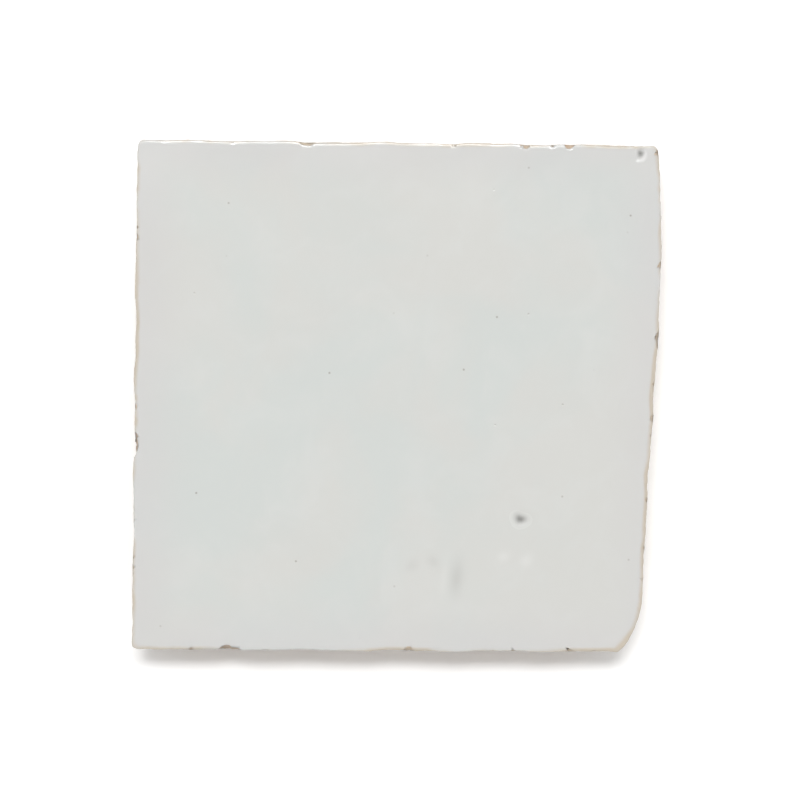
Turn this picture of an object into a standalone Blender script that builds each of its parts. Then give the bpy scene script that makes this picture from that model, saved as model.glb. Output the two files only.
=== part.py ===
"""One white zellige tile: a square of fired clay, glazed on its face and dressed to size by hand.

The tile lies on its back. +Z is up out of the glazed face, +Y points to the edge that is uppermost
in use, and the origin is on the back, under the middle of the face. All lengths are in metres.
"""

import math
import random

import bmesh
import bpy
from mathutils import Vector

# The glazed face in plan. A hand-cut square is never quite one: its four corners lie a little off.
FACE_WIDTH = 0.1007
FACE_HEIGHT = 0.0993
LEFT_LEAN = 0.0011        # how far the left edge's lower end lies outside its upper end
RIGHT_LEAN = 0.0036       # how far the right edge's lower end lies inside its upper end
TOP_FALL = 0.0013         # how far the top edge drops from left to right
BOTTOM_FALL = 0.0006      # how far the bottom edge drops from left to right
RIGHT_BULGE = 0.0013      # the right edge swells outwards by this, two thirds of the way up
EDGE_WAVE = 0.00018       # the hammer leaves each edge wandering by this, either way
WAVES_PER_EDGE = 5

# Corners in plan: how far back along each edge the corner is lost
SOUND_CORNER = 0.0015
BROKEN_CORNER_ALONG_BOTTOM = 0.0044
BROKEN_CORNER_UP_RIGHT = 0.0095
BROKEN_CORNER_FULLNESS = 0.45   # 0 is a straight break, 1 a round one

# Heights and section
THICKNESS = 0.0120        # in the middle, from the back to the glazed face
FACE_CROWN = 0.0005       # the face's corners lie this much lower than its middle
FACE_TWIST = 0.0002       # and one diagonal of it is this much higher than the other
FACE_WAVE = 0.00013       # hand-pressed clay leaves the face rising and falling by this
FACE_WAVE_LENGTH = 0.041
ARRIS_RADIUS = 0.0009     # the glaze rolls over the edge on this radius
GLAZED_LIP = 0.0024       # the edge stands upright for this far under the face
BACK_INSET = 0.0022       # the flanks are cut back by this, from the lip to the back
BACK_ARRIS = 0.0007       # the soft lower edge of the clay

# Hammer facets round the flanks
FACETS_PER_SIDE = 9
FACET_DEPTH = 0.0010
FACET_SEED = 12

# Flakes knocked off the arris: side, distance along it anticlockwise, length, width and depth
FLAKES = (
    ("top", 0.0690, 0.0040, 0.0009, 0.0009),
    ("left", 0.0600, 0.0058, 0.0007, 0.0009),
    ("bottom", 0.0190, 0.0044, 0.0008, 0.0010),
    ("right", 0.0610, 0.0036, 0.0008, 0.0010),
)

# Pits burst through the glaze: distance from the left and from the bottom, width and depth
PITS = (
    (0.0758, 0.0260, 0.0021, 0.0008),
    (0.0992, 0.0972, 0.0017, 0.0007),
)

# Fineness of the mesh
FACE_SEGMENTS = 40
ARRIS_STEPS = 3
FLANK_STEPS = 4

SIDES = ("bottom", "right", "top", "left")
GLAZE_COLOUR = (0.66, 0.685, 0.655, 1.0)
CLAY_COLOUR = (0.56, 0.40, 0.27, 1.0)


def clear_scene():
    for obj in list(bpy.data.objects):
        bpy.data.objects.remove(obj, do_unlink=True)


def principled(name, colour, roughness):
    material = bpy.data.materials.new(name)
    material.use_nodes = True
    shader = material.node_tree.nodes["Principled BSDF"]
    shader.inputs["Base Color"].default_value = colour
    shader.inputs["Roughness"].default_value = roughness
    shader.inputs["Metallic"].default_value = 0.0
    material.diffuse_color = colour
    return material


def face_corners():
    """The corners before any rounding, anticlockwise from bottom left."""
    half_width, half_height = FACE_WIDTH / 2, FACE_HEIGHT / 2
    return (
        Vector((-half_width - LEFT_LEAN / 2, -half_height + BOTTOM_FALL / 2)),
        Vector((half_width - RIGHT_LEAN / 2, -half_height - BOTTOM_FALL / 2)),
        Vector((half_width + RIGHT_LEAN / 2, half_height - TOP_FALL / 2)),
        Vector((-half_width + LEFT_LEAN / 2, half_height + TOP_FALL / 2)),
    )


def corner_loss(corner):
    """How far a corner is lost along the edge before it and the edge after it, and its fullness."""
    if corner == 1:
        return BROKEN_CORNER_ALONG_BOTTOM, BROKEN_CORNER_UP_RIGHT, BROKEN_CORNER_FULLNESS
    return SOUND_CORNER, SOUND_CORNER, 1.0


def corner_point(corner, t):
    """A point on a lost corner's curve: t is 0 on the edge before it, and 1 on the edge after it."""
    corners = face_corners()
    tip = corners[corner]
    loss_before, loss_after, fullness = corner_loss(corner)
    start = tip + (corners[corner - 1] - tip).normalized() * loss_before
    end = tip + (corners[(corner + 1) % 4] - tip).normalized() * loss_after
    control = ((start + end) / 2).lerp(tip, fullness)
    return start * (1 - t) ** 2 + control * 2 * t * (1 - t) + end * t**2


def edge_stray(side, along):
    """How far an edge strays outwards from straight, at a share of the way between its corners."""
    phase = SIDES.index(side) * 1.9
    slow = math.sin(2 * math.pi * WAVES_PER_EDGE * along + phase)
    quick = math.sin(2 * math.pi * (2 * WAVES_PER_EDGE + 1) * along + 2.3 * phase)
    stray = EDGE_WAVE * (0.65 * slow + 0.35 * quick) * math.sin(math.pi * along) ** 0.5
    if side == "right":
        stray += RIGHT_BULGE * math.sin(math.pi * along**2)
    return stray


def edge_point(side, along):
    """A point of the outline: along runs from 0 to 1, anticlockwise, between two corners' middles."""
    first = SIDES.index(side)
    second = (first + 1) % 4
    start, end = face_corners()[first], face_corners()[second]
    length = (end - start).length
    distance = along * length
    lost_at_start, lost_at_end = corner_loss(first)[1], corner_loss(second)[0]
    if distance < lost_at_start:
        return corner_point(first, 0.5 + 0.5 * distance / lost_at_start)
    if length - distance < lost_at_end:
        return corner_point(second, 0.5 - 0.5 * (length - distance) / lost_at_end)
    straight = (distance - lost_at_start) / (length - lost_at_start - lost_at_end)
    direction = (end - start).normalized()
    outwards = Vector((direction.y, -direction.x))
    return start + direction * distance + outwards * edge_stray(side, straight)


def crowded(share):
    """Moves an even spacing of grid lines towards the edges, where the corners need them."""
    return 0.45 * share + 0.55 * (0.5 - 0.5 * math.cos(math.pi * share))


def plan_point(across, up):
    """The outline stretched over a square: both shares run from 0 to 1, and its rim is the outline."""
    bottom, top = edge_point("bottom", across), edge_point("top", 1 - across)
    left, right = edge_point("left", 1 - up), edge_point("right", up)
    between_edges = bottom * (1 - up) + top * up + left * (1 - across) + right * across
    between_corners = (
        edge_point("bottom", 0.0) * (1 - across) * (1 - up)
        + edge_point("right", 0.0) * across * (1 - up)
        + edge_point("top", 0.0) * across * up
        + edge_point("left", 0.0) * (1 - across) * up
    )
    return between_edges - between_corners


def outline_box():
    """The lowest and highest corner of the outline's box."""
    rim = [edge_point(side, step / 200) for side in SIDES for step in range(200)]
    lowest = Vector((min(point.x for point in rim), min(point.y for point in rim)))
    highest = Vector((max(point.x for point in rim), max(point.y for point in rim)))
    return lowest, highest


def set_in(point, inset):
    """Draws a plan point in from the outline, as a smaller outline of the same shape."""
    return Vector(
        (point.x * (1 - 2 * inset / FACE_WIDTH), point.y * (1 - 2 * inset / FACE_HEIGHT))
    )


def face_height(point):
    """The glazed face bulges in the middle, twists between its diagonals and rises and falls."""
    u, v = 2 * point.x / FACE_WIDTH, 2 * point.y / FACE_HEIGHT
    turn = 2 * math.pi / FACE_WAVE_LENGTH
    wave = math.sin(turn * (point.x + 0.3 * point.y) + 0.8)
    wave *= math.sin(turn * (0.85 * point.y - 0.2 * point.x) + 2.0)
    return THICKNESS - FACE_CROWN * (u * u + v * v) / 2 + FACE_TWIST * u * v + FACE_WAVE * wave


def facet_plan():
    """For each side, where its hammer facets end along it, and how deep each one cuts."""
    chance = random.Random(FACET_SEED)
    lines = [crowded(step / FACE_SEGMENTS) for step in range(FACE_SEGMENTS + 1)]
    facets = {}
    for side in SIDES:
        widths = [chance.uniform(0.6, 1.4) for _ in range(FACETS_PER_SIDE)]
        depths = [FACET_DEPTH * chance.uniform(0.35, 1.0) for _ in range(FACETS_PER_SIDE)]
        wanted = [sum(widths[:n]) / sum(widths) for n in range(FACETS_PER_SIDE + 1)]
        ends = [min(lines, key=lambda line: abs(line - place)) for place in wanted]
        facets[side] = (ends, depths)
    return facets


def facet_cut(facets, across, up):
    """How deep the hammer facets cut at a place on the rim."""
    if abs(up - 0.5) > abs(across - 0.5):
        side, along = ("top", 1 - across) if up > 0.5 else ("bottom", across)
    else:
        side, along = ("right", up) if across > 0.5 else ("left", 1 - up)
    ends, depths = facets[side]
    for start, end, depth in zip(ends, ends[1:], depths):
        if start <= along <= end and end > start:
            place = 2 * (along - start) / (end - start) - 1
            return depth * (1 - place * place)
    return 0.0


def flank_rings():
    """Down from the rim of the face to the back: kind of height, its amount, inset, facet share."""
    rings = []
    for step in range(1, ARRIS_STEPS + 1):
        angle = math.radians(90) * step / ARRIS_STEPS
        drop = ARRIS_RADIUS * (1 - math.cos(angle))
        rings.append(("drop", drop, ARRIS_RADIUS * (1 - math.sin(angle)), 0.0))
    rings.append(("drop", GLAZED_LIP, 0.0, 0.0))
    for step in range(1, FLANK_STEPS + 1):
        share = step / FLANK_STEPS
        rings.append(("share", share, BACK_INSET * share, math.sin(math.radians(130) * share)))
    rings.append(("back", 0.0, BACK_INSET + BACK_ARRIS, math.sin(math.radians(130))))
    return rings


def ring_height(kind, amount, face):
    """The height of a ring's vertex, from the height of the face straight above it."""
    if kind == "drop":
        return face - amount
    if kind == "share":
        lip = face - GLAZED_LIP
        return lip + (BACK_ARRIS - lip) * amount
    return 0.0


def tile_body():
    """The face is a grid bent to the outline. Its rim is drawn down, ring by ring, to the back."""
    lowest, highest = outline_box()
    middle = (lowest + highest) / 2
    facets = facet_plan()
    mesh = bmesh.new()
    bmesh.ops.create_grid(mesh, x_segments=FACE_SEGMENTS, y_segments=FACE_SEGMENTS, size=1.0)
    station = mesh.verts.layers.float_vector.new("station")
    for vert in mesh.verts:
        across, up = crowded((vert.co.x + 1) / 2), crowded((vert.co.y + 1) / 2)
        vert[station] = Vector((across, up, 0.0))
        flat = set_in(plan_point(across, up) - middle, ARRIS_RADIUS)
        vert.co = (flat.x, flat.y, face_height(flat))
    for face in mesh.faces:
        face.smooth = True
    rim = [edge for edge in mesh.edges if edge.is_boundary]
    for number, (kind, amount, inset, facet_share) in enumerate(flank_rings()):
        made = bmesh.ops.extrude_edge_only(mesh, edges=rim)["geom"]
        rim = [part for part in made if isinstance(part, bmesh.types.BMEdge)]
        for vert in (part for part in made if isinstance(part, bmesh.types.BMVert)):
            across, up = vert[station].x, vert[station].y
            outline = plan_point(across, up) - middle
            flat = set_in(outline, inset + facet_share * facet_cut(facets, across, up))
            face = face_height(set_in(outline, ARRIS_RADIUS))
            vert.co = (flat.x, flat.y, ring_height(kind, amount, face))
        on_clay = number > ARRIS_STEPS
        for face in (part for part in made if isinstance(part, bmesh.types.BMFace)):
            face.material_index = 1 if on_clay else 0
            face.smooth = True
    back = bmesh.ops.contextual_create(mesh, geom=rim)["faces"]
    for face in back:
        face.material_index = 1
    bmesh.ops.recalc_face_normals(mesh, faces=mesh.faces)
    data = bpy.data.meshes.new("zellige_tile")
    mesh.to_mesh(data)
    mesh.free()
    data.set_sharp_from_angle(angle=math.radians(35))
    return bpy.data.objects.new("zellige_tile", data)


def ball_cutter(name, size, place, turn, material):
    """A flattened ball, hidden, that bites a flake or a pit out of the tile."""
    mesh = bmesh.new()
    bmesh.ops.create_icosphere(mesh, subdivisions=2, radius=1.0)
    for vert in mesh.verts:
        vert.co.x *= size[0]
        vert.co.y *= size[1]
        vert.co.z *= size[2]
    data = bpy.data.meshes.new(name)
    mesh.to_mesh(data)
    mesh.free()
    data.materials.append(material)
    cutter = bpy.data.objects.new(name, data)
    cutter.location = (place.x, place.y, face_height(place))
    cutter.rotation_euler.z = turn
    cutter.hide_render = True
    cutter.display_type = "WIRE"
    return cutter


def flake_cutters(material):
    lowest, highest = outline_box()
    corners = face_corners()
    cutters = []
    for number, (side, distance, length, width, depth) in enumerate(FLAKES, start=1):
        first = SIDES.index(side)
        along = distance / (corners[(first + 1) % 4] - corners[first]).length
        place = edge_point(side, along) - (lowest + highest) / 2
        direction = edge_point(side, along + 0.01) - edge_point(side, along - 0.01)
        turn = math.atan2(direction.y, direction.x)
        size = (length / 2, width, depth)
        cutters.append(ball_cutter(f"flake_{number}", size, place, turn, material))
    return cutters


def pit_cutters(material):
    lowest, highest = outline_box()
    cutters = []
    for number, (from_left, from_bottom, width, depth) in enumerate(PITS, start=1):
        place = Vector((from_left, from_bottom)) - (highest - lowest) / 2
        size = (width / 2, width / 2, depth)
        cutters.append(ball_cutter(f"pit_{number}", size, place, 0.0, material))
    return cutters


def main():
    clear_scene()
    glaze = principled("white_tin_glaze", GLAZE_COLOUR, 0.12)
    clay = principled("fired_clay", CLAY_COLOUR, 0.85)
    parts = bpy.data.collections.new("zellige_tile")
    cutters = bpy.data.collections.new("cutters")
    bpy.context.scene.collection.children.link(parts)
    bpy.context.scene.collection.children.link(cutters)

    tile = tile_body()
    tile.data.materials.append(glaze)
    tile.data.materials.append(clay)
    parts.objects.link(tile)

    for cutter in flake_cutters(clay) + pit_cutters(clay):
        cutters.objects.link(cutter)
        bite = tile.modifiers.new(cutter.name, "BOOLEAN")
        bite.operation = "DIFFERENCE"
        bite.object = cutter


main()
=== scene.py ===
"""A white zellige tile lying on its back: a square of fired clay under a glossy, cloudy white glaze."""

import math
import random

import bmesh
import bpy
import numpy as np
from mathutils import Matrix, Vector, noise


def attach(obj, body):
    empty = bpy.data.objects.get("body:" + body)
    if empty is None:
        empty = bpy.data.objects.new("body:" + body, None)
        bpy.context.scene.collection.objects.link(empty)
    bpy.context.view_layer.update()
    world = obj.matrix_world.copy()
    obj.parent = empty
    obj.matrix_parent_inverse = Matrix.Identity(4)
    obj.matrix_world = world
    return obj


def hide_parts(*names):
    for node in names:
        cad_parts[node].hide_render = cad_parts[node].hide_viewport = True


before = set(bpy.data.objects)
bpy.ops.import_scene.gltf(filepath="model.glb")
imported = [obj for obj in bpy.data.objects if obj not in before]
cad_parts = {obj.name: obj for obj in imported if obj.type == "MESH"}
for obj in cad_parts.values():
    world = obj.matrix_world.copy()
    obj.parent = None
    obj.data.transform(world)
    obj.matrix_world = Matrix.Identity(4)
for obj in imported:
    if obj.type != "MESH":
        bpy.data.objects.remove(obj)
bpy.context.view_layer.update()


# The square of clay.
# Clay is pressed flat, dried and fired, glazed on its face, fired again and then trimmed on an anvil
# with a hammer. So the outline wanders, one corner is lost and the flanks are cut back in facets.
face_width = 0.1007
face_height = 0.0993
left_lean = 0.0011
right_lean = 0.0036
top_fall = 0.0013
bottom_fall = 0.0006
right_bulge = 0.0013
edge_wave = 0.00018
waves_per_edge = 5
sound_corner = 0.0015
broken_corner = (0.0044, 0.0095, 0.45)
thickness = 0.0120
face_crown = 0.0005
face_twist = 0.0002
face_wave = 0.00013
face_wave_length = 0.041
arris_radius = 0.0009
glazed_lip = 0.0024
back_inset = 0.0022
back_arris = 0.0007
face_cells = 180
sides = ("bottom", "right", "top", "left")
tile_size = np.array([face_width, face_height])

square = (
    Vector((-(face_width + left_lean) / 2, -(face_height - bottom_fall) / 2)),
    Vector(((face_width - right_lean) / 2, -(face_height + bottom_fall) / 2)),
    Vector(((face_width + right_lean) / 2, (face_height - top_fall) / 2)),
    Vector((-(face_width - left_lean) / 2, (face_height + top_fall) / 2)),
)


def corner_loss(corner):
    """How far a corner is lost along the edge before it and the edge after it, and its fullness."""
    return broken_corner if corner == 1 else (sound_corner, sound_corner, 1.0)


def corner_point(corner, t):
    """A point on a lost corner's curve: t is 0 on the edge before it, and 1 on the edge after it."""
    tip = square[corner]
    loss_before, loss_after, fullness = corner_loss(corner)
    start = tip + (square[corner - 1] - tip).normalized() * loss_before
    end = tip + (square[(corner + 1) % 4] - tip).normalized() * loss_after
    control = ((start + end) / 2).lerp(tip, fullness)
    return start * (1 - t) ** 2 + control * 2 * t * (1 - t) + end * t**2


def edge_stray(side, share):
    """How far an edge strays outwards from straight, at a share of the way between its corners."""
    phase = sides.index(side) * 1.9
    slow = math.sin(2 * math.pi * waves_per_edge * share + phase)
    quick = math.sin(2 * math.pi * (2 * waves_per_edge + 1) * share + 2.3 * phase)
    stray = edge_wave * (0.65 * slow + 0.35 * quick) * math.sin(math.pi * share) ** 0.5
    if side == "right":
        stray += right_bulge * math.sin(math.pi * share**2)
    return stray


def edge_point(side, along):
    """A point of the outline, anticlockwise between the middles of two corners."""
    first = sides.index(side)
    second = (first + 1) % 4
    start, end = square[first], square[second]
    length = (end - start).length
    distance = along * length
    lost_at_start, lost_at_end = corner_loss(first)[1], corner_loss(second)[0]
    if distance < lost_at_start:
        return corner_point(first, 0.5 + 0.5 * distance / lost_at_start)
    if length - distance < lost_at_end:
        return corner_point(second, 0.5 - 0.5 * (length - distance) / lost_at_end)
    share = (distance - lost_at_start) / (length - lost_at_start - lost_at_end)
    direction = (end - start).normalized()
    outwards = Vector((direction.y, -direction.x))
    return start + direction * distance + outwards * edge_stray(side, share)


def edge_line(side, shares):
    return np.array([edge_point(side, share)[:] for share in shares])


def grid_lines(count, spots):
    """Shares from 0 to 1, closer together at both ends and round each spot, for the fine marks."""
    end_reach, more_at_ends, more_at_spots = 0.02, 1.2, 1.9
    places = np.linspace(0, 1, 4001)
    near_start = np.exp(-places / end_reach)
    near_end = np.exp((places - 1) / end_reach)
    density = 1 + more_at_ends * near_start + more_at_ends * near_end
    for spot, reach in spots:
        density += more_at_spots * np.exp(-(((places - spot) / reach) ** 2))
    total = np.concatenate([[0], np.cumsum((density[1:] + density[:-1]) / 2)])
    return np.interp(np.linspace(0, total[-1], count + 1), total, places)


def halved(shares):
    """The same lines with one more between each two."""
    count = len(shares) - 1
    return np.interp(np.arange(2 * count + 1) / 2, np.arange(count + 1), shares)


def outline(across, up):
    """The rim anticlockwise from the bottom left corner, one point for each line that meets it."""
    runs = (("bottom", across), ("right", up), ("top", 1 - across[::-1]), ("left", 1 - up[::-1]))
    return np.concatenate([edge_line(side, shares[:-1]) for side, shares in runs]) - middle


def stretched(across, up):
    """The outline stretched over a square grid, as points in rows from the bottom."""
    a, b = across[None, :, None], up[:, None, None]
    bottom, top = edge_line("bottom", across)[None], edge_line("top", 1 - across)[None]
    left, right = edge_line("left", 1 - up)[:, None], edge_line("right", up)[:, None]
    tips = [np.array(edge_point(side, 0.0)[:]) for side in sides]
    between_edges = bottom * (1 - b) + top * b + left * (1 - a) + right * a
    lower = tips[0] * (1 - a) + tips[1] * a
    upper = tips[3] * (1 - a) + tips[2] * a
    return between_edges - lower * (1 - b) - upper * b - middle


def set_in(points, inset):
    """Draws plan points in from the outline, as a smaller outline of the same shape."""
    return points * (1 - 2 * np.asarray(inset)[..., None] / tile_size)


def level(points):
    """The height of the glazed face: crowned, a little twisted, and rising and falling in waves."""
    x, y = points[..., 0], points[..., 1]
    u, v = 2 * x / face_width, 2 * y / face_height
    turn = 2 * math.pi / face_wave_length
    wave = np.sin(turn * (x + 0.3 * y) + 0.8) * np.sin(turn * (0.85 * y - 0.2 * x) + 2.0)
    return thickness - face_crown * (u * u + v * v) / 2 + face_twist * u * v + face_wave * wave


def wander(points, length, seed):
    """Smooth noise from -1 to 1 at each plan point, with bumps about as wide as length."""
    return np.array([noise.noise(Vector((p[0] / length, p[1] / length, seed))) for p in points])


rough_shares = np.arange(200) / 200
rough_rim = np.concatenate([edge_line(side, rough_shares) for side in sides])
middle = (rough_rim.min(axis=0) + rough_rim.max(axis=0)) / 2

# The lines lie closer together where the large pit and the long dimple are.
across_lines = grid_lines(face_cells, ((0.735, 0.016), (0.615, 0.020)))
up_lines = grid_lines(face_cells, ((0.260, 0.016), (0.145, 0.022)))
fine_rim = outline(halved(across_lines), halved(up_lines))
rim = fine_rim[::2]


# Where each hammer blow ends along a side, and how deep it bit. The ridge between two blows lies at
# one of the steps along the side, which are closer together towards its corners.
blow_seed = 12
blows_per_side = 9
deepest_blow = 0.0010
ridge_steps = 40
chance = random.Random(blow_seed)
steps = [k / ridge_steps for k in range(ridge_steps + 1)]
ridges = [0.45 * step + 0.55 * (0.5 - 0.5 * math.cos(math.pi * step)) for step in steps]
blows = {}
for side in sides:
    widths = [chance.uniform(0.6, 1.4) for _ in range(blows_per_side)]
    depths = [deepest_blow * chance.uniform(0.35, 1.0) for _ in range(blows_per_side)]
    wanted = [sum(widths[:n]) / sum(widths) for n in range(blows_per_side + 1)]
    blows[side] = ([min(ridges, key=lambda ridge: abs(ridge - place)) for place in wanted], depths)


def blow_cut(side, along):
    """How deep the hammer cut the flank at a share of the way along a side."""
    ends, depths = blows[side]
    for start, end, depth in zip(ends, ends[1:], depths):
        if start <= along <= end:
            place = 2 * (along - start) / (end - start) - 1
            return depth * (1 - place * place)
    return 0.0


def rim_cut(skew):
    """The hammer's cut all round the flank, with each side's ridges leaning by skew of its length."""
    runs = (
        ("bottom", across_lines),
        ("right", up_lines),
        ("top", 1 - across_lines[::-1]),
        ("left", 1 - up_lines[::-1]),
    )
    cut = []
    for number, (side, shares) in enumerate(runs):
        lean = skew * (-1) ** number
        cut += [blow_cut(side, min(max(share + lean, 0.0), 1.0)) for share in shares[:-1]]
    return np.array(cut)


# Rings of points from the rim of the face, over the arris and down the flanks to the back. Each point
# also keeps how bare of glaze it is, how thin the glaze is there, and whether it lies on the arris.
face_insets = (0.0029, 0.00245, 0.00205, 0.0017, 0.0014, 0.00115)
face_grid_inset = 0.0034
arris_steps = 7
marked_arris_step = 3
lip_drops = (0.0012, 0.0015, 0.0018, 0.0021, 0.0024)
flank_steps = 19
flank_height = thickness - glazed_lip - back_arris
ridge_lean = 0.010
deepest_turn = math.radians(130)
back_steps = 3
back_grid_inset = 0.0052
thin_at_rim = 0.75
glaze_fade = 0.0007
points, bare, thin, on_arris, rings = [], [], [], [], []


def add_points(plan, height, bareness, thinness, arris=False):
    """Adds a point at a height over each plan point, and returns their numbers."""
    start = sum(len(part) for part in points)
    points.append(np.column_stack([plan, np.broadcast_to(height, len(plan))]))
    bare.append(np.broadcast_to(bareness, len(plan)))
    thin.append(np.broadcast_to(thinness, len(plan)))
    on_arris.append(np.full(len(plan), arris))
    return np.arange(start, start + len(plan))


def past_glaze(drop, glaze_run):
    """How bare the clay is at a drop below the face: 0 well above the glaze's end, 1 well below."""
    return np.clip(0.5 + (drop - glaze_run) / glaze_fade, 0, 1)


# The arris varies in radius, the rim is nibbled, and the glaze ends in an uneven line with some runs.
fine_face = level(set_in(fine_rim, arris_radius))
radius = arris_radius * (0.62 + 0.38 * wander(fine_rim, 0.009, 3.0))
nibble = 0.00010 * (1 + wander(fine_rim, 0.0021, 12.0)) + 0.00006 * (1 + wander(fine_rim, 0.0008, 2.0))
glaze_ends = 0.0018 + 0.0009 * wander(fine_rim, 0.011, 8.0) + 0.0006 * wander(fine_rim, 0.0028, 5.0)
glaze_ends += 0.0075 * np.maximum(wander(fine_rim, 0.0058, 21.0) - 0.30, 0)

for inset in face_insets:
    plan = set_in(fine_rim, inset)
    thinness = thin_at_rim * (1 - inset / face_grid_inset) ** 2
    rings.append(add_points(plan, level(plan), 0.0, thinness))
for step in range(arris_steps + 1):
    angle = math.radians(90) * step / arris_steps
    plan = set_in(fine_rim, radius * (1 - math.sin(angle)) + nibble * math.sin(angle))
    drop = radius * (1 - math.cos(angle))
    thinness = thin_at_rim + (1 - thin_at_rim) * math.sin(angle)
    rings.append(add_points(plan, fine_face - drop, 0.0, thinness, step == marked_arris_step))
for drop in lip_drops:
    plan = set_in(fine_rim, nibble)
    rings.append(add_points(plan, fine_face - drop, past_glaze(drop, glaze_ends), 0.9))

flank_top = (fine_face - glazed_lip)[::2]
for step in range(1, flank_steps + 1):
    share = step / flank_steps
    cut = math.sin(deepest_turn * share) * rim_cut(ridge_lean * (share - 0.5))
    plan = set_in(rim, nibble[::2] + back_inset * share + cut)
    height = flank_top + (back_arris - flank_top) * share
    bareness = past_glaze(glazed_lip + flank_height * share, glaze_ends[::2])
    rings.append(add_points(plan, height, bareness, 1.0))
for step in range(1, back_steps + 1):
    angle = math.radians(90) * step / back_steps
    cut = math.sin(deepest_turn) * rim_cut(ridge_lean / 2)
    plan = set_in(rim, nibble[::2] + back_inset + cut + back_arris * (1 - math.cos(angle)))
    rings.append(add_points(plan, back_arris * (1 - math.sin(angle)), 1.0, 1.0))

# The face inside the rings, and the back, are grids.
face_grid = set_in(stretched(across_lines, up_lines), face_grid_inset)
back_grid = set_in(stretched(across_lines[::2], up_lines[::2]), back_grid_inset)
face_numbers = add_points(face_grid.reshape(-1, 2), level(face_grid).ravel(), 0.0, 0.0)
face_numbers = face_numbers.reshape(face_grid.shape[:2])
back_numbers = add_points(back_grid.reshape(-1, 2), 0.0, 1.0, 1.0).reshape(back_grid.shape[:2])


def grid_faces(numbers):
    corners = (numbers[:-1, :-1], numbers[:-1, 1:], numbers[1:, 1:], numbers[1:, :-1])
    return np.stack(corners, axis=-1).reshape(-1, 4).tolist()


def grid_border(numbers):
    """The grid's border anticlockwise from its first point."""
    runs = (numbers[0, :-1], numbers[:-1, -1], numbers[-1, :0:-1], numbers[:0:-1, 0])
    return np.concatenate(runs)


def band(upper, lower):
    """Quads between two rings of as many points, or triangles where one has twice as many."""
    if len(upper) == len(lower):
        return np.column_stack([upper, lower, np.roll(lower, -1), np.roll(upper, -1)]).tolist()
    many, few = (upper, lower) if len(upper) > len(lower) else (lower, upper)
    following, next_few = np.roll(many, -1), np.roll(few, -1)
    fans = (
        np.column_stack([many[::2], many[1::2], few]),
        np.column_stack([many[1::2], next_few, few]),
        np.column_stack([many[1::2], following[1::2], next_few]),
    )
    return np.concatenate(fans).tolist()


faces = grid_faces(face_numbers) + grid_faces(back_numbers)
chain = [grid_border(face_numbers)] + rings + [grid_border(back_numbers)]
for upper, lower in zip(chain, chain[1:]):
    faces += band(upper, lower)

points = np.concatenate(points)
bare = np.concatenate(bare)
thin = np.concatenate(thin)
on_arris = np.concatenate(on_arris)
on_face = points[:, 2] > thickness / 2
painted_shade, painted_highlight, scorch = np.zeros(len(points)), np.zeros(len(points)), np.zeros(len(points))

# How deep the clay of the flanks is torn. At the sharp corners, above the back and round the flakes
# it is less, so that its facets don't cut through each other.
corner_reach, corner_calm = 0.0055, 0.8
back_reach, back_calm = 0.0022, 0.45
flank = bare.copy()
for tip in square:
    from_tip = np.hypot(*(points[:, :2] - (np.array(tip) - middle)).T)
    flank *= 1 - corner_calm * np.exp(-((from_tip / corner_reach) ** 2))
above_back = points[:, 2] > 0
calmed = 1 - back_calm + back_calm * np.clip(points[:, 2] / back_reach, 0, 1)
flank *= np.where(above_back, calmed, 1)


# Marks that can be told one by one: flakes knocked off the arris, two pits burst through the glaze,
# and dents and blisters in it. The pits and dents carry painted shade and the blisters a painted highlight.
lump_share = 0.30
lump_length = 0.0011
bare_from = 0.00014
bare_over = 0.00016
flake_calm = 0.7


def scoop(centre, turn, size):
    """Pushes points inside a lumpy ball out to its surface, bares the clay where it is deep, and
    makes the torn clay round it shallower."""
    along = np.array([math.cos(turn), math.sin(turn), 0.0])
    aside = np.array([-math.sin(turn), math.cos(turn), 0.0])
    axes = np.array([along, aside, [0.0, 0.0, 1.0]])
    local = (points - np.array(centre)) @ axes.T / np.array(size)
    distance = np.linalg.norm(local, axis=1)
    near = np.flatnonzero((distance < 1.4) & on_face)
    bumps = np.array([noise.noise(Vector(points[index]) / lump_length) for index in near])
    lumps = 1 + lump_share * bumps
    hit = distance[near] < lumps
    inside, lumps = near[hit], lumps[hit]
    depth = (lumps - distance[inside]) * min(size)
    local[inside] *= (lumps / np.maximum(distance[inside], 1e-6))[:, None]
    points[inside] = local[inside] * np.array(size) @ axes + np.array(centre)
    bare[inside] = np.maximum(bare[inside], np.clip((depth - bare_from) / bare_over, 0, 1))
    flank[:] *= 1 - flake_calm * np.exp(-((np.maximum(distance - 0.9, 0) / 0.5) ** 2))


# Each flake's side, how far along the side it is, and its length, width and depth.
edge_flakes = (
    ("top", 0.0690, 0.0046, 0.0015, 0.0024),
    ("left", 0.0600, 0.0064, 0.0014, 0.0026),
    ("bottom", 0.0190, 0.0054, 0.0015, 0.0022),
    ("right", 0.0610, 0.0044, 0.0014, 0.0017),
)
flake_stand_off = 0.0006
flake_rise = 0.0002
for side, distance, length, width, depth in edge_flakes:
    first = sides.index(side)
    along = distance / (square[(first + 1) % 4] - square[first]).length
    spot = np.array(edge_point(side, along)[:]) - middle
    heading = (edge_point(side, along + 0.01) - edge_point(side, along - 0.01)).normalized()
    outwards = np.array([heading.y, -heading.x])
    centre = (*(spot + flake_stand_off * outwards), float(level(spot)) + flake_rise)
    scoop(centre, math.atan2(heading.y, heading.x), (length / 2, width, depth))
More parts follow.
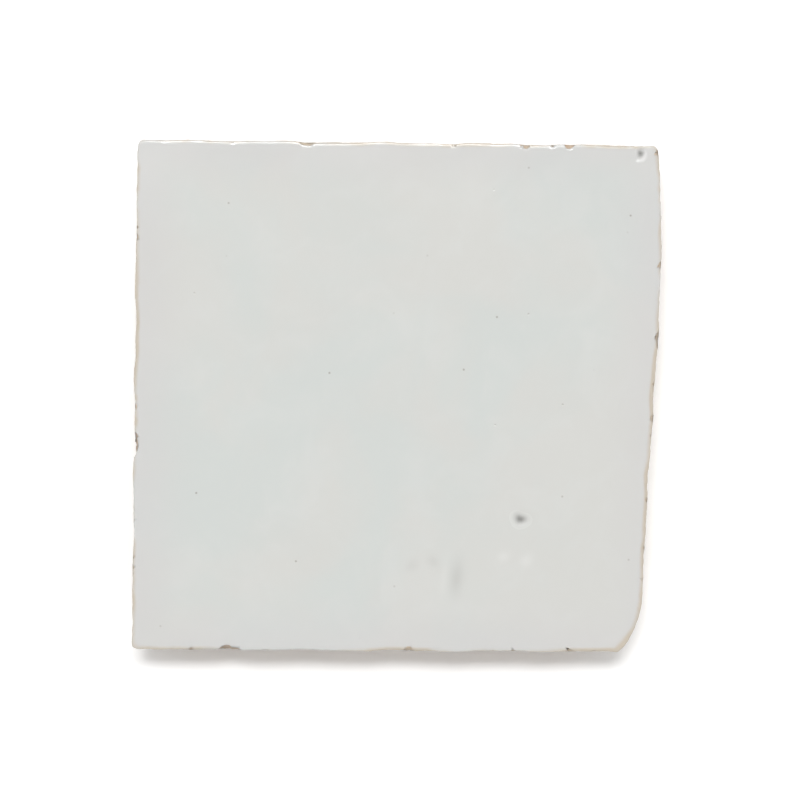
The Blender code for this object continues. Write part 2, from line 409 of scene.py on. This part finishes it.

# Each pit's place, its radius and its depth. A pit is a steep hole in a shallow dish with a low lip,
# darkened inside with painted shade, and dull.
burst_pits = ((0.0240, -0.0241, 0.00240, 0.00040), (0.0474, 0.0471, 0.00150, 0.00036))
hole_share = 0.62
dish_share = 0.12
lip_share = 0.05
for x, y, pit_radius, depth in burst_pits:
    reach = points[:, :2] - np.array([x, y])
    bearing = np.arctan2(reach[:, 1], reach[:, 0])
    uneven = 1 + 0.12 * np.sin(2 * bearing + 90 * x) + 0.08 * np.sin(3 * bearing + 1.1)
    share = np.hypot(reach[:, 0], reach[:, 1]) / (pit_radius * uneven)
    dish = 0.5 + 0.5 * np.cos(math.pi * np.clip(share, 0, 1))
    hole = 0.5 + 0.5 * np.cos(math.pi * np.clip(share / hole_share, 0, 1))
    lip = lip_share * np.exp(-(((share - 1.08) / 0.22) ** 2))
    points[:, 2] += np.where(on_face, depth * (lip - dish_share * dish - hole), 0)
    # The pit is darkened with painted shade, most in its hole and a little in its dish.
    painted_shade = np.maximum(painted_shade, np.where(on_face, 0.22 * dish + 0.78 * hole**1.5, 0))
    scorch = np.maximum(scorch, np.where(on_face, np.clip((1.1 - share) / 0.5, 0, 1), 0))

# Each swelling's place, its turn, half its length and width, its height, and its painted light: a painted
# highlight where above 0, painted shade where below 0.
swellings = (
    (0.0116, -0.0355, 1.45, 0.0034, 0.0013, -0.00012, -0.17),
    (0.0092, -0.0352, 1.45, 0.0030, 0.0007, 0.00003, 0.12),
    (0.0207, -0.0313, 0.3, 0.0012, 0.0010, 0.00006, 0.24),
    (0.0252, -0.0320, 1.1, 0.0013, 0.0011, 0.00007, 0.26),
    (0.0029, -0.0330, 0.7, 0.0015, 0.0011, -0.00005, -0.09),
    (0.0070, -0.0322, 2.4, 0.0013, 0.0010, -0.00005, -0.10),
    (-0.0160, 0.0120, 1.6, 0.0060, 0.0024, -0.00010, 0.0),
    (-0.0250, -0.0110, 0.4, 0.0040, 0.0026, -0.00008, 0.0),
    (0.0330, 0.0180, 2.6, 0.0046, 0.0020, -0.00007, 0.0),
)
for x, y, turn, half_length, half_width, height, painted_light in swellings:
    reach = points[:, :2] - np.array([x, y])
    along = (reach[:, 0] * math.cos(turn) + reach[:, 1] * math.sin(turn)) / half_length
    aside = (reach[:, 1] * math.cos(turn) - reach[:, 0] * math.sin(turn)) / half_width
    bulge = np.where(on_face, np.exp(-(along**2) - aside**2), 0)
    points[:, 2] += height * bulge
    # Dents are darkened with painted shade, and blisters lightened with a painted highlight.
    painted_shade = np.maximum(painted_shade, -painted_light * bulge)
    painted_highlight = np.maximum(painted_highlight, painted_light * bulge)

# Towards the edges the glaze runs a little thinner over the whole face.
thin_border = 0.014
thin_at_edge = 0.30
from_edge = (tile_size / 2 - np.abs(points[:, :2])).min(axis=1)
thin = np.maximum(thin, thin_at_edge * np.clip(1 - from_edge / thin_border, 0, 1) ** 1.4)

kept_values = {"bare": bare, "flank": flank, "thin": thin, "painted_shade": painted_shade, "painted_highlight": painted_highlight, "scorch": scorch}
tile_mesh = bpy.data.meshes.new("glazed_tile")
tile_mesh.from_pydata(points.tolist(), [], faces)
for name, values in kept_values.items():
    tile_mesh.attributes.new(name, "FLOAT", "POINT").data.foreach_set("value", values)
tile_mesh.attributes.new("arris", "BOOLEAN", "POINT").data.foreach_set("value", on_arris)
shaping = bmesh.new()
shaping.from_mesh(tile_mesh)
bmesh.ops.recalc_face_normals(shaping, faces=shaping.faces)
shaping.to_mesh(tile_mesh)
shaping.free()
tile_mesh.shade_smooth()
tile = bpy.data.objects.new("glazed_tile", tile_mesh)
bpy.context.scene.collection.objects.link(tile)


def put(tree, kind, inputs=None, **settings):
    """A node with its settings, and each input given a value or linked to another node's output."""
    made = tree.nodes.new(kind)
    for name, value in settings.items():
        setattr(made, name, value)
    for key, value in (inputs or {}).items():
        if isinstance(value, bpy.types.NodeSocket):
            tree.links.new(value, made.inputs[key])
        else:
            made.inputs[key].default_value = value
    return made


def maths(tree, operation, first, second=0.0):
    return put(tree, "ShaderNodeMath", {0: first, 1: second}, operation=operation).outputs[0]


def plus(tree, first, second):
    return maths(tree, "ADD", first, second)


def minus(tree, first, second):
    return maths(tree, "SUBTRACT", first, second)


def times(tree, first, second):
    return maths(tree, "MULTIPLY", first, second)


def mottle(tree, where, length, detail=2.0, roughness=0.5, distortion=0.0):
    """Noise from 0 to 1 in blotches about as wide as length."""
    scale = maths(tree, "DIVIDE", 1.0, length)
    inputs = {"Vector": where, "Scale": scale, "Detail": detail, "Roughness": roughness}
    made = put(tree, "ShaderNodeTexNoise", {**inputs, "Distortion": distortion})
    return made.outputs["Fac"]


def ramp(tree, value, low, high):
    """0 at low and 1 at high, with soft ends, and the same beyond them."""
    inputs = {"Value": value, "From Min": low, "From Max": high}
    made = put(tree, "ShaderNodeMapRange", inputs, interpolation_type="SMOOTHSTEP")
    return made.outputs["Result"]


def either(tree, share, first, second):
    """first where share is 0, and second where it is 1."""
    return put(tree, "ShaderNodeMix", {0: share, 2: first, 3: second}).outputs[0]


def tint(tree, share, first, second):
    """As either, for colours."""
    inputs = {0: share, 6: first, 7: second}
    return put(tree, "ShaderNodeMix", inputs, data_type="RGBA").outputs[2]


# The skin of the tile: an opaque white glaze over pale buff clay. The glaze is cloudy, warmer where
# it runs thin towards the arris, and dotted with specks. The bare clay is dull, grainy and pored.
# Pits and dents are darkened with painted shade, blisters lightened with a painted highlight, and the
# crests of the torn clay painted paler, partly as clay dust and partly as painted light.
cool_white = (0.680, 0.708, 0.684, 1)
creamy_white = (0.706, 0.706, 0.676, 1)
milky_white = (0.735, 0.742, 0.720, 1)
pinkish_white = (0.685, 0.672, 0.664, 1)
highlight_white = (0.90, 0.90, 0.88, 1)
clay_through_glaze = (0.635, 0.565, 0.470, 1)
iron_speck = (0.32, 0.29, 0.25, 1)
rosy_clay = (0.600, 0.450, 0.335, 1)
sandy_clay = (0.600, 0.490, 0.365, 1)
pale_clay = (0.700, 0.595, 0.470, 1)
dusty_lit_crest_clay = (0.760, 0.670, 0.560, 1)
clay_pore = (0.430, 0.320, 0.225, 1)
lime_crumb = (0.780, 0.740, 0.660, 1)
painted_shade_colour = (0.13, 0.125, 0.115, 1)
ragged_length = 0.0006
speck_spacing = 0.0065
speck_depth = 0.00005
peel_length, peel_height = 0.0034, 0.000012
grain_length, grain_height = 0.0013, 0.00036
grit_length, grit_height = 0.0005, 0.00016
crumb_length = 0.0019
glossiest, dullest_glaze = 0.06, 0.42

skin = bpy.data.materials.new("white_glaze_on_clay")
skin.use_nodes = True
shading = skin.node_tree
shader = shading.nodes["Principled BSDF"]
place = put(shading, "ShaderNodeTexCoord").outputs["Object"]


def kept(name):
    """One of the values that the mesh keeps at each point."""
    return put(shading, "ShaderNodeAttribute", attribute_name=name).outputs["Fac"]


ragged = times(shading, minus(shading, mottle(shading, place, ragged_length), 0.5), 0.8)
clay_shows = ramp(shading, plus(shading, kept("bare"), ragged), 0.42, 0.58)

glaze = tint(shading, kept("clouds"), cool_white, creamy_white)
glaze = tint(shading, times(shading, kept("milk"), 0.4), glaze, milky_white)
near_edge = ramp(shading, kept("thin"), 0.0, 0.30)
glaze = tint(shading, times(shading, near_edge, 0.6), glaze, pinkish_white)
patchy = plus(shading, times(shading, kept("milk"), 0.7), kept("clouds"))
worn = times(shading, kept("thin"), plus(shading, 0.42, patchy))
glaze = tint(shading, ramp(shading, worn, 0.42, 1.35), glaze, clay_through_glaze)
# Painted highlight: the blisters are painted paler, as if they caught the light.
glaze = tint(shading, kept("painted_highlight"), glaze, highlight_white)

inputs = {"Vector": place, "Scale": 1 / speck_spacing}
cells = put(shading, "ShaderNodeTexVoronoi", inputs, voronoi_dimensions="2D")
drawn = put(shading, "ShaderNodeSeparateColor", {0: cells.outputs["Color"]}).outputs[0]
speck = minus(shading, 1.0, ramp(shading, cells.outputs["Distance"], 0.015, 0.045))
speck = times(shading, speck, ramp(shading, drawn, 0.86, 1.0))
glaze = tint(shading, times(shading, speck, 0.6), glaze, iron_speck)

grain = mottle(shading, place, grain_length, detail=4, roughness=0.7)
clay = tint(shading, kept("clouds"), rosy_clay, sandy_clay)
clay = tint(shading, kept("milk"), clay, pale_clay)
# The crests of the torn clay are painted paler than its hollows: partly clay dust, partly painted light.
clay = tint(shading, times(shading, kept("crest_dust_and_light"), 0.45), clay, dusty_lit_crest_clay)
clay = tint(shading, ramp(shading, grain, 0.26, 0.46), clay_pore, clay)
crumbs = ramp(shading, mottle(shading, place, crumb_length), 0.70, 0.76)
clay = tint(shading, times(shading, crumbs, 0.7), clay, lime_crumb)
colour = tint(shading, clay_shows, glaze, clay)
# Painted shade: the pits' holes and dishes and the dents are darkened towards a dark grey.
colour = tint(shading, times(shading, kept("painted_shade"), 0.8), colour, painted_shade_colour)
shading.links.new(colour, shader.inputs["Base Color"])

glossy = plus(shading, glossiest, times(shading, kept("sheen"), 0.13))
glossy = either(shading, kept("scorch"), glossy, dullest_glaze)
dull = plus(shading, 0.78, times(shading, grain, 0.2))
shading.links.new(either(shading, clay_shows, glossy, dull), shader.inputs["Roughness"])

peel = times(shading, mottle(shading, place, peel_length, detail=1), peel_height)
prick = times(shading, speck, -speck_depth)
fine_grit = mottle(shading, place, grit_length, detail=3, roughness=0.7)
torn = plus(shading, times(shading, grain, grain_height), times(shading, fine_grit, grit_height))
relief = either(shading, kept("bare"), plus(shading, peel, prick), torn)
bump = put(shading, "ShaderNodeBump", {"Strength": 1.0, "Distance": 1.0, "Height": relief})
shading.links.new(bump.outputs["Normal"], shader.inputs["Normal"])


# What repeats all over the tile: nicks knocked out of the arris, slow waves in the glaze, and the
# torn face of the clay. Each nick is a scoop about a point on the arris that chance picks.
dressing = bpy.data.node_groups.new("hand_dressing", "GeometryNodeTree")
tuning = {
    "Nick Share": 0.030,
    "Smallest Nick": 0.00022,
    "Largest Nick": 0.00105,
    "Wave Height": 0.00024,
    "Wave Length": 0.016,
    "Chip Depth": 0.00085,
    "Chip Length": 0.0062,
    "Glaze Thickness": 0.00018,
}
seed = 7
dressing.interface.new_socket("Geometry", in_out="INPUT", socket_type="NodeSocketGeometry")
knobs = {}
for name in tuning:
    knobs[name] = dressing.interface.new_socket(name, in_out="INPUT", socket_type="NodeSocketFloat")
for name, kind in (("Seed", "NodeSocketInt"), ("Skin", "NodeSocketMaterial")):
    knobs[name] = dressing.interface.new_socket(name, in_out="INPUT", socket_type=kind)
dressing.interface.new_socket("Geometry", in_out="OUTPUT", socket_type="NodeSocketGeometry")
given = put(dressing, "NodeGroupInput").outputs
here = put(dressing, "GeometryNodeInputPosition").outputs[0]
facing = put(dressing, "GeometryNodeInputNormal").outputs[0]


def vectors(operation, inputs):
    made = put(dressing, "ShaderNodeVectorMath", inputs, operation=operation)
    return made.outputs["Value" if operation in ("LENGTH", "DOT_PRODUCT") else "Vector"]


def scaled(vector, size):
    return vectors("SCALE", {0: vector, "Scale": size})


def stored(name, kind="FLOAT"):
    made = put(dressing, "GeometryNodeInputNamedAttribute", {"Name": name}, data_type=kind)
    return made.outputs["Attribute"]


def store(geometry, name, value, kind="FLOAT"):
    inputs = {"Geometry": geometry, "Name": name, "Value": value}
    return put(dressing, "GeometryNodeStoreNamedAttribute", inputs, data_type=kind).outputs[0]


def of_nick(value, kind="FLOAT"):
    """A value at the nick nearest to each point."""
    inputs = {"Geometry": nicks, "Value": value, "Index": nearest}
    return put(dressing, "GeometryNodeSampleIndex", inputs, data_type=kind).outputs[0]


# The nicks: each point inside a nick's uneven ball moves out to the ball's surface. Where each point
# faced before that is kept as leaning.
lumpiness = 0.0008
leaning = store(given["Geometry"], "leaning", facing, "FLOAT_VECTOR")
inputs = {"Probability": given["Nick Share"], "Seed": given["Seed"]}
lucky = put(dressing, "FunctionNodeRandomValue", inputs, data_type="BOOLEAN").outputs[3]
inputs = {0: stored("arris", "BOOLEAN"), 1: lucky}
picked = put(dressing, "FunctionNodeBooleanMath", inputs, operation="AND").outputs[0]
nicks = put(dressing, "GeometryNodeMeshToPoints", {"Mesh": leaning, "Selection": picked}).outputs[0]
nearest = put(dressing, "GeometryNodeSampleNearest", {"Geometry": nicks}).outputs[0]
rarely = put(dressing, "FunctionNodeRandomValue", {"Seed": given["Seed"]}, data_type="FLOAT").outputs[1]
rarely = maths(dressing, "POWER", rarely, 3.0)
nick_size = of_nick(either(dressing, rarely, given["Smallest Nick"], given["Largest Nick"]))
nick_lean = of_nick(stored("leaning", "FLOAT_VECTOR"), "FLOAT_VECTOR")
stand_off = scaled(nick_lean, times(dressing, nick_size, 0.5))
nick_middle = vectors("ADD", {0: of_nick(here, "FLOAT_VECTOR"), 1: stand_off})
uneven = plus(dressing, 0.5, mottle(dressing, here, lumpiness))
nick_radius = times(dressing, nick_size, uneven)
from_middle = vectors("SUBTRACT", {0: here, 1: nick_middle})
bitten = minus(dressing, nick_radius, vectors("LENGTH", {0: from_middle}))
barer = maths(dressing, "MAXIMUM", stored("bare"), ramp(dressing, bitten, 0.00008, 0.00024))
marked = store(leaning, "bare", barer)
scooped = scaled(vectors("NORMALIZE", {0: from_middle}), nick_radius)
scooped = vectors("ADD", {0: nick_middle, 1: scooped})
inside = maths(dressing, "GREATER_THAN", bitten, 0.0)
inputs = {"Geometry": marked, "Selection": inside, "Position": scooped}
nicked = put(dressing, "GeometryNodeSetPosition", inputs).outputs[0]


def shards(length, slope, bowl):
    """The height of clay broken into facets as wide as length, each tilted and a little dished."""
    per_length = maths(dressing, "DIVIDE", 1.0, length)
    cells = put(dressing, "ShaderNodeTexVoronoi", {"Vector": strayed, "Scale": per_length}).outputs
    tilt = vectors("SUBTRACT", {0: cells["Color"], 1: (0.5, 0.5, 0.5)})
    arm = vectors("SUBTRACT", {0: strayed, 1: cells["Position"]})
    rise = times(dressing, vectors("DOT_PRODUCT", {0: arm, 1: tilt}), per_length)
    dish = times(dressing, maths(dressing, "POWER", cells["Distance"], 1.6), bowl)
    return plus(dressing, times(dressing, rise, slope), dish)


# The glaze: slow waves and a finer ripple, which lower it nearly everywhere.
ripple_length, ripple_height = 0.0065, 0.000022
wave = minus(dressing, mottle(dressing, here, given["Wave Length"], detail=1), 0.66)
ripple = minus(dressing, mottle(dressing, here, ripple_length, detail=1), 0.6)
wave = plus(dressing, times(dressing, wave, given["Wave Height"]), times(dressing, ripple, ripple_height))

# The clay of the flanks: large facets with small ones on them, ragged at their edges and gritty, and
# a glaze's thickness further in. The facets only cut in, so hollow is 0 at most.
chunk_length, chunk_height = 0.0018, 0.00025
stray_scale, stray_reach = 190.0, 0.004
small_share = 0.38
astray = put(dressing, "ShaderNodeTexNoise", {"Vector": here, "Scale": stray_scale}).outputs["Color"]
strayed = vectors("ADD", {0: here, 1: scaled(astray, stray_reach)})
small_chips = times(dressing, given["Chip Length"], small_share)
hollow = plus(dressing, shards(given["Chip Length"], 2.4, 0.6), shards(small_chips, 0.8, 0.2))
grit = minus(dressing, mottle(dressing, here, chunk_length, detail=4, roughness=0.65), 0.75)
hollow = plus(dressing, hollow, times(dressing, grit, 0.8))
hollow = maths(dressing, "MINIMUM", minus(dressing, hollow, 0.60), 0.0)
flank_tear = times(dressing, hollow, given["Chip Depth"])
flank_tear = minus(dressing, flank_tear, given["Glaze Thickness"])

# The back: the uneven print of the bed that the clay was pressed on.
print_length, print_depth = 0.0042, 0.00045
pressed = mottle(dressing, here, print_length, detail=5, roughness=0.6, distortion=0.4)
back_tear = times(dressing, minus(dressing, pressed, 0.50), print_depth)
upwards = put(dressing, "ShaderNodeSeparateXYZ", {0: facing}).outputs[2]
on_back = ramp(dressing, times(dressing, upwards, -1.0), 0.6, 0.95)
clay_move = either(dressing, on_back, flank_tear, back_tear)

# All of it moves the points along leaning, so that few faces cut through each other. Nothing goes
# below the level that the tile lies on, and the crests of the torn clay are kept for its colour: painted
# paler, partly as clay dust and partly as painted light on the ridges.
wave = times(dressing, wave, minus(dressing, 1.0, stored("bare")))
broken = times(dressing, times(dressing, grit, stored("bare")), chunk_height)
move = either(dressing, stored("flank"), plus(dressing, wave, broken), clay_move)
nicked = store(nicked, "crest_dust_and_light", ramp(dressing, hollow, -1.05, -0.35))
inputs = {"Geometry": nicked, "Offset": scaled(stored("leaning", "FLOAT_VECTOR"), move)}
moved = put(dressing, "GeometryNodeSetPosition", inputs).outputs[0]
no_lower = vectors("MAXIMUM", {0: here, 1: (-1.0, -1.0, 0.0)})
settled = put(dressing, "GeometryNodeSetPosition", {"Geometry": moved, "Position": no_lower}).outputs[0]

# The slow changes of colour and gloss are wide enough for the mesh to keep.
cloud_length, milk_length, sheen_length = 0.030, 0.011, 0.013
clouds = mottle(dressing, here, cloud_length, detail=3, roughness=0.55, distortion=0.5)
milk = mottle(dressing, here, milk_length, detail=4, roughness=0.6, distortion=1.0)
settled = store(settled, "clouds", ramp(dressing, clouds, 0.36, 0.64))
settled = store(settled, "milk", ramp(dressing, milk, 0.42, 0.72))
settled = store(settled, "sheen", mottle(dressing, here, sheen_length, detail=4))
whole = put(dressing, "GeometryNodeRealizeInstances", {"Geometry": settled}).outputs[0]
inputs = {"Geometry": whole, "Material": given["Skin"]}
dressed = put(dressing, "GeometryNodeSetMaterial", inputs).outputs[0]
put(dressing, "NodeGroupOutput", {"Geometry": dressed})

modifier = tile.modifiers.new("hand dressing", "NODES")
modifier.node_group = dressing
for name, value in tuning.items():
    modifier[knobs[name].identifier] = value
modifier[knobs["Seed"].identifier] = seed
modifier[knobs["Skin"].identifier] = skin
evaluated = tile.evaluated_get(bpy.context.evaluated_depsgraph_get())
dressed_mesh = bpy.data.meshes.new_from_object(evaluated)
tile.modifiers.remove(modifier)
tile.data = dressed_mesh
tile.data.name = "glazed_tile"

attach(tile, "root")
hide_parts("zellige_tile")


# The floor is a plain white sheet. To the camera and in the glaze it is white, and elsewhere it
# throws back as much light as pale paper does, so it keeps the tile's shadow.
half_floor = 0.35
floor_drop = 0.00003
pale_paper = (0.80, 0.80, 0.80, 1)
seen_white = (1.16, 1.16, 1.16, 1)
signs = ((-1, -1), (1, -1), (1, 1), (-1, 1))
floor_corners = [(x * half_floor, y * half_floor, -floor_drop) for x, y in signs]
floor_mesh = bpy.data.meshes.new("white_floor")
floor_mesh.from_pydata(floor_corners, [], [(0, 1, 2, 3)])
floor = bpy.data.objects.new("white_floor", floor_mesh)
bpy.context.scene.collection.objects.link(floor)
paper = bpy.data.materials.new("white_paper")
paper.use_nodes = True
paper_tree = paper.node_tree
paper_shader = paper_tree.nodes["Principled BSDF"]
ray = put(paper_tree, "ShaderNodeLightPath").outputs
seen = maths(paper_tree, "MAXIMUM", ray["Is Camera Ray"], ray["Is Glossy Ray"])
tone = tint(paper_tree, seen, pale_paper, seen_white)
paper_tree.links.new(tone, paper_shader.inputs["Base Color"])
paper_shader.inputs["Roughness"].default_value = 1.0
paper_shader.inputs["Specular IOR Level"].default_value = 0.0
floor.data.materials.append(paper)


# The light: a pale room with a bright patch overhead, which the glaze mirrors at its top arris, and
# with a ring of soft upright panels lower down, mirrored from lower angles. One soft lamp beyond the
# top edge throws the tile's shadow below its bottom edge.
room_light = 0.30
glow_strength = 0.55
panel_count = 22
panel_strength = 1.9
world = bpy.data.worlds.new("pale_room")
bpy.context.scene.world = world
world.use_nodes = True
room = world.node_tree
background = room.nodes["Background"]
direction = put(room, "ShaderNodeTexCoord").outputs["Generated"]
aim = put(room, "ShaderNodeSeparateXYZ", {0: direction}).outputs
northwards, upwards = aim[1], aim[2]
slant = maths(room, "DIVIDE", northwards, maths(room, "MAXIMUM", upwards, 0.05))
glow = times(room, ramp(room, slant, 0.15, 0.22), ramp(room, slant, 0.9, 0.4))
glow = times(room, glow, times(room, ramp(room, upwards, 0.4, 0.7), glow_strength))
bearing = maths(room, "ARCTAN2", northwards, aim[0])
turns = plus(room, times(room, bearing, panel_count), 0.6)
panels = ramp(room, maths(room, "SINE", turns), 0.55, 0.85)
panels = times(room, panels, ramp(room, upwards, 0.30, 0.38))
panels = times(room, panels, ramp(room, upwards, 0.82, 0.70))
panels = times(room, panels, panel_strength)
glow = maths(room, "MAXIMUM", glow, panels)
ray = put(room, "ShaderNodeLightPath").outputs
backdrop = times(room, ramp(room, upwards, 0.30, 0.10), ray["Is Glossy Ray"])
lit = plus(room, room_light, maths(room, "MAXIMUM", glow, backdrop))
strength = either(room, ray["Is Camera Ray"], lit, 1.0)
room.links.new(strength, background.inputs["Strength"])
background.inputs["Color"].default_value = (1.0, 1.0, 1.0, 1.0)

lamp_data = bpy.data.lights.new("soft_lamp", "AREA")
lamp_data.shape = "RECTANGLE"
lamp_data.size = 2.56
lamp_data.size_y = 1.20
lamp_data.energy = 211.0
lamp = bpy.data.objects.new("soft_lamp", lamp_data)
lamp.location = (-0.20, 2.40, 6.40)
lamp.rotation_euler = (-lamp.location).to_track_quat("-Z", "Y").to_euler()
bpy.context.scene.collection.objects.link(lamp)


# The camera looks straight down on the glazed face, with the tile's top edge uppermost.
camera_distance = 0.432
camera_data = bpy.data.cameras.new("camera")
camera_data.lens = 100
camera_data.sensor_width = 36
camera = bpy.data.objects.new("camera", camera_data)
camera.location = (0.0006, -0.0008, thickness + camera_distance)
bpy.context.scene.collection.objects.link(camera)
bpy.context.scene.camera = camera
bpy.context.scene.view_settings.view_transform = "Standard"
